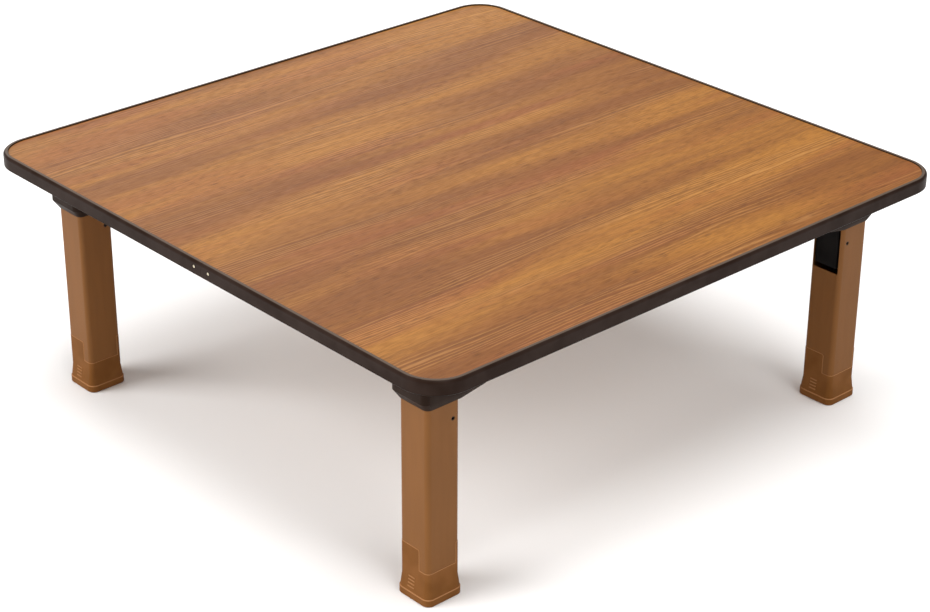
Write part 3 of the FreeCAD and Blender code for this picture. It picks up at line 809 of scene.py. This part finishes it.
class Stage(bpy.types.PropertyGroup):
    """Floor, light and camera."""

    floor_colour: FloatVectorProperty(
        name="Floor", description="Pale floor", subtype="COLOR", size=3, default=linear("F2F1F0"))
    floor_size: FloatProperty(
        name="Floor size", description="Side of the floor", subtype="DISTANCE", unit="LENGTH", default=60.0)
    sky_strength: FloatProperty(
        name="Sky", description="Even light from all sides", default=0.29)
    front_strength: FloatProperty(
        name="Front light", description="Soft light from the front on the left", default=3.05)
    side_strength: FloatProperty(
        name="Side light", description="Soft light from the right", default=1.38)
    top_strength: FloatProperty(
        name="Top light", description="Soft light from above", default=2.4)
    back_strength: FloatProperty(
        name="Back light", description="Soft light from behind on the left", default=0.45)
    light_spread: FloatProperty(
        name="Light spread", description="Angle that each soft light fills", subtype="ANGLE",
        unit="ROTATION", default=math.radians(42))
    camera_place: FloatVectorProperty(
        name="Camera place", description="Where the camera stands", subtype="TRANSLATION", unit="LENGTH",
        size=3, default=(1.8775, -1.7019, 1.4021))
    heading: FloatProperty(
        name="Heading", description="Turn of the view to the left of the table's depth", subtype="ANGLE",
        unit="ROTATION", default=math.radians(47.7))
    dip: FloatProperty(
        name="Dip", description="Tilt of the view below level", subtype="ANGLE", unit="ROTATION",
        default=math.radians(26.973))
    roll: FloatProperty(
        name="Roll", description="Roll of the camera", subtype="ANGLE", unit="ROTATION",
        default=math.radians(0.296))
    lens: FloatProperty(
        name="Lens", description="Focal length on a 36 mm frame", subtype="DISTANCE_CAMERA",
        unit="CAMERA", default=90.11)


class LOW_TABLE_OT_stage(bpy.types.Operator):
    """Lays the pale floor and sets the soft lights and the camera"""

    bl_idname = "low_table.stage"
    bl_label = "Stage"

    def execute(self, context):
        stage = context.scene.low_table_stage
        lay_floor(stage)
        hang_lights(stage)
        place_camera(stage)
        context.scene.view_settings.view_transform = "Standard"
        return {"FINISHED"}


def lay_floor(stage):
    """A plain pale floor under the table, matt and very faintly clouded."""
    mesh = bmesh.new()
    bmesh.ops.create_grid(mesh, x_segments=1, y_segments=1, size=stage.floor_size / 2)
    floor = new_object("floor", mesh)
    material, tree, place = start_material("pale_studio_floor")
    cloud = blotches(tree, place, FLOOR_CLOUD)
    darker = [c * FLOOR_SHADE for c in stage.floor_colour]
    tone = laid_over(tree, stage.floor_colour, darker, cloud, *PATTERN_SPAN)
    finish_surface(tree, tone, rough=0.9)
    floor.data.materials.append(material)


def hang_lights(stage):
    """Even pale surroundings and broad distant lights from the front, right, top and back."""
    world = bpy.data.worlds.new("studio")
    world.use_nodes = True
    sky = world.node_tree.nodes["Background"]
    sky.inputs["Color"].default_value = (1.0, 1.0, 1.0, 1.0)
    sky.inputs["Strength"].default_value = stage.sky_strength
    bpy.context.scene.world = world
    for name, (origin, mirrored) in LIGHTS.items():
        data = bpy.data.lights.new(name + "_light", "SUN")
        data.angle = stage.light_spread
        data.energy = getattr(stage, name + "_strength")
        lamp = bpy.data.objects.new(name + "_light", data)
        lamp.rotation_euler = Vector(origin).to_track_quat("Z", "Y").to_euler()
        lamp.visible_glossy = mirrored
        bpy.context.scene.collection.objects.link(lamp)


def place_camera(stage):
    """The camera as it stood for the photograph."""
    data = bpy.data.cameras.new("camera")
    data.sensor_width = CAMERA_FRAME
    data.lens = stage.lens
    data.clip_start = CAMERA_NEAR
    data.clip_end = CAMERA_FAR
    camera = bpy.data.objects.new("camera", data)
    turn = Matrix.Rotation(stage.heading, 4, "Z")
    tilt = Matrix.Rotation(math.radians(90) - stage.dip, 4, "X")
    roll = Matrix.Rotation(stage.roll, 4, "Z")
    camera.matrix_world = Matrix.Translation(stage.camera_place) @ turn @ tilt @ roll
    bpy.context.scene.collection.objects.link(camera)
    bpy.context.scene.camera = camera


OPERATORS = (
    LOW_TABLE_OT_stage,
    LOW_TABLE_OT_top,
    LOW_TABLE_OT_moulding,
    LOW_TABLE_OT_nails,
    LOW_TABLE_OT_brackets,
    LOW_TABLE_OT_screws,
    LOW_TABLE_OT_legs,
    LOW_TABLE_OT_foot_caps,
    LOW_TABLE_OT_hinges,
)


class LOW_TABLE_PT_panel(bpy.types.Panel):
    """Lists the table's pieces, sizes and colours"""

    bl_idname = "LOW_TABLE_PT_panel"
    bl_label = "Low Table"
    bl_space_type = "VIEW_3D"
    bl_region_type = "UI"
    bl_category = "Low Table"

    def draw(self, context):
        for operator in OPERATORS:
            self.layout.operator(operator.bl_idname)
        for group in (context.scene.low_table_looks, context.scene.low_table_stage):
            column = self.layout.column()
            for name in group.__annotations__:
                column.prop(group, name)


CLASSES = (Looks, Stage, *OPERATORS, LOW_TABLE_PT_panel)


def register():
    for item in CLASSES:
        bpy.utils.register_class(item)
    bpy.types.Scene.low_table_looks = PointerProperty(type=Looks)
    bpy.types.Scene.low_table_stage = PointerProperty(type=Stage)


def unregister():
    del bpy.types.Scene.low_table_stage
    del bpy.types.Scene.low_table_looks
    for item in reversed(CLASSES):
        bpy.utils.unregister_class(item)


def main():
    register()
    bpy.ops.low_table.stage()
    bpy.ops.low_table.top()
    bpy.ops.low_table.moulding()
    bpy.ops.low_table.nails()
    bpy.ops.low_table.brackets()
    bpy.ops.low_table.screws()
    bpy.ops.low_table.legs()
    bpy.ops.low_table.foot_caps()
    bpy.ops.low_table.hinges()


if __name__ == "__main__":
    main()
